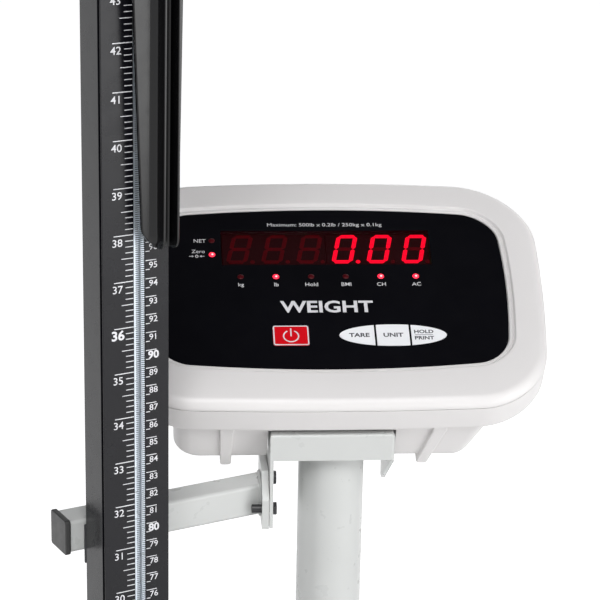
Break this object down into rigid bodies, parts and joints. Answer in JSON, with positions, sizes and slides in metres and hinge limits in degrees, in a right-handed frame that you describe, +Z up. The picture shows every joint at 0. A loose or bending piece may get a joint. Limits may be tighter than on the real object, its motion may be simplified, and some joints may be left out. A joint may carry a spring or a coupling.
{
  "type": "column physician scale",
  "caption": "Digital physician scale: low platform, round column, tilted LED head with membrane keys, and a height rod with sliding fold-down headpiece.",
  "frame": {"origin": "on the floor, below the middle of the whole object's box", "axes": "+Z up the column, +X to the right of a person who reads the display, +Y back from the platform's front edge towards the column"},
  "size_m": [0.356, 0.572, 2.115],
  "materials": {
    "battery_wrap": "shrink-wrapped cells",
    "black_paint": "satin black powder coat",
    "black_plastic": "fine moulded grain",
    "bright_steel": "bright steel",
    "cable_jacket": "grey PVC jacket",
    "circuit_board": "green solder mask",
    "display_red": "deep red filter",
    "foot_rubber": "matt black rubber",
    "grey_paint": "light grey powder coat",
    "headpiece_black": "semi-gloss black",
    "key_grey": "light grey membrane key",
    "key_red": "red membrane key",
    "led_module": "dark LED block",
    "load_cell_aluminium": "milled",
    "mat_rubber": "ribbed black mat",
    "overlay_black": "smooth membrane film",
    "rod_black": "satin black anodised extrusion",
    "wheel_rubber": "dark moulded wheel",
    "white_plastic": "fine grained ABS",
    "zinc_steel": "zinc plated"
  },
  "bodies": {
    "stand": {"base_plate": "black_paint", "battery": "battery_wrap", "battery_door": "white_plastic", "cable_connector": "white_plastic", "column_socket": "black_paint", "column_tube": "grey_paint", "dc_inlet": "black_plastic", "display_board": "circuit_board", "display_digits_left": "led_module", "display_digits_right": "led_module", "display_window": "display_red", "front_overlay": "overlay_black", "front_shell": "white_plastic", "head_bracket": "grey_paint", "head_screw_left": "zinc_steel", "head_screw_right": "zinc_steel", "height_rod": "rod_black", "junction_box": "black_plastic", "load_cell_front_left": "load_cell_aluminium", "load_cell_front_right": "load_cell_aluminium", "load_cell_rear_left": "load_cell_aluminium", "load_cell_rear_right": "load_cell_aluminium", "lower_arm": "grey_paint", "lower_arm_bolt": "zinc_steel", "lower_arm_cap": "black_plastic", "lower_clamp_plate": "black_paint", "lower_end_plate": "grey_paint", "lower_rod_screw": "zinc_steel", "lower_saddle": "grey_paint", "main_board": "circuit_board", "platform_cover": "grey_paint", "platform_mat": "mat_rubber", "rack_strip": "bright_steel", "rear_shell": "white_plastic", "rod_bottom_cap": "black_plastic", "rod_top_cap": "black_plastic", "signal_cable": "cable_jacket", "socket_screw": "zinc_steel", "upper_arm": "grey_paint", "upper_arm_bolt": "zinc_steel", "upper_arm_cap": "black_plastic", "upper_arm_screw": "zinc_steel", "upper_clamp_plate": "black_paint", "upper_end_plate": "grey_paint", "upper_rod_screw": "zinc_steel", "wheel_axle": "zinc_steel"},
    "slider": {"slider_body": "black_plastic", "rack_pawl": "bright_steel", "headpiece_pin": "bright_steel"},
    "headpiece": {"headpiece": "headpiece_black"},
    "key_power": {"key_power": "key_red"},
    "key_tare": {"key_tare": "key_grey"},
    "key_unit": {"key_unit": "key_grey"},
    "key_hold": {"key_hold": "key_grey"},
    "wheel_left": {"wheel_left": "wheel_rubber"},
    "wheel_right": {"wheel_right": "wheel_rubber"},
    "foot_front_left": {"foot_front_left": "foot_rubber"},
    "foot_front_right": {"foot_front_right": "foot_rubber"},
    "foot_rear_left": {"foot_rear_left": "foot_rubber"},
    "foot_rear_right": {"foot_rear_right": "foot_rubber"}
  },
  "joints": [
    {"name": "slider_travel", "type": "slide", "parent": "stand", "child": "slider", "axis": [0, 0, 1], "range_m": [-0.5842, 0.8128]},
    {"name": "headpiece_fold", "type": "hinge", "parent": "slider", "child": "headpiece", "pos_m": [-0.09896, 0.07177, 1.2633], "axis": [-0.9063, -0.4226, 0], "range_deg": [0, 90]},
    {"name": "press_power", "type": "slide", "parent": "stand", "child": "key_power", "axis": [0, 0.5, -0.866], "range_m": [0, 0.0004], "stiffness_N_per_m": 800},
    {"name": "press_tare", "type": "slide", "parent": "stand", "child": "key_tare", "axis": [0, 0.5, -0.866], "range_m": [0, 0.0004], "stiffness_N_per_m": 800},
    {"name": "press_unit", "type": "slide", "parent": "stand", "child": "key_unit", "axis": [0, 0.5, -0.866], "range_m": [0, 0.0004], "stiffness_N_per_m": 800},
    {"name": "press_hold", "type": "slide", "parent": "stand", "child": "key_hold", "axis": [0, 0.5, -0.866], "range_m": [0, 0.0004], "stiffness_N_per_m": 800},
    {"name": "roll_left", "type": "hinge", "parent": "stand", "child": "wheel_left", "pos_m": [-0.067, 0.212, 0.0275], "axis": [1, 0, 0], "continuous": true},
    {"name": "roll_right", "type": "hinge", "parent": "stand", "child": "wheel_right", "pos_m": [0.067, 0.212, 0.0275], "axis": [1, 0, 0], "continuous": true},
    {"name": "level_front_left", "type": "hinge", "parent": "stand", "child": "foot_front_left", "pos_m": [-0.15, -0.26, 0.012], "axis": [0, 0, 1], "continuous": true},
    {"name": "level_front_right", "type": "hinge", "parent": "stand", "child": "foot_front_right", "pos_m": [0.15, -0.26, 0.012], "axis": [0, 0, 1], "continuous": true},
    {"name": "level_rear_left", "type": "hinge", "parent": "stand", "child": "foot_rear_left", "pos_m": [-0.15, 0.044, 0.012], "axis": [0, 0, 1], "continuous": true},
    {"name": "level_rear_right", "type": "hinge", "parent": "stand", "child": "foot_rear_right", "pos_m": [0.15, 0.044, 0.012], "axis": [0, 0, 1], "continuous": true}
  ]
}
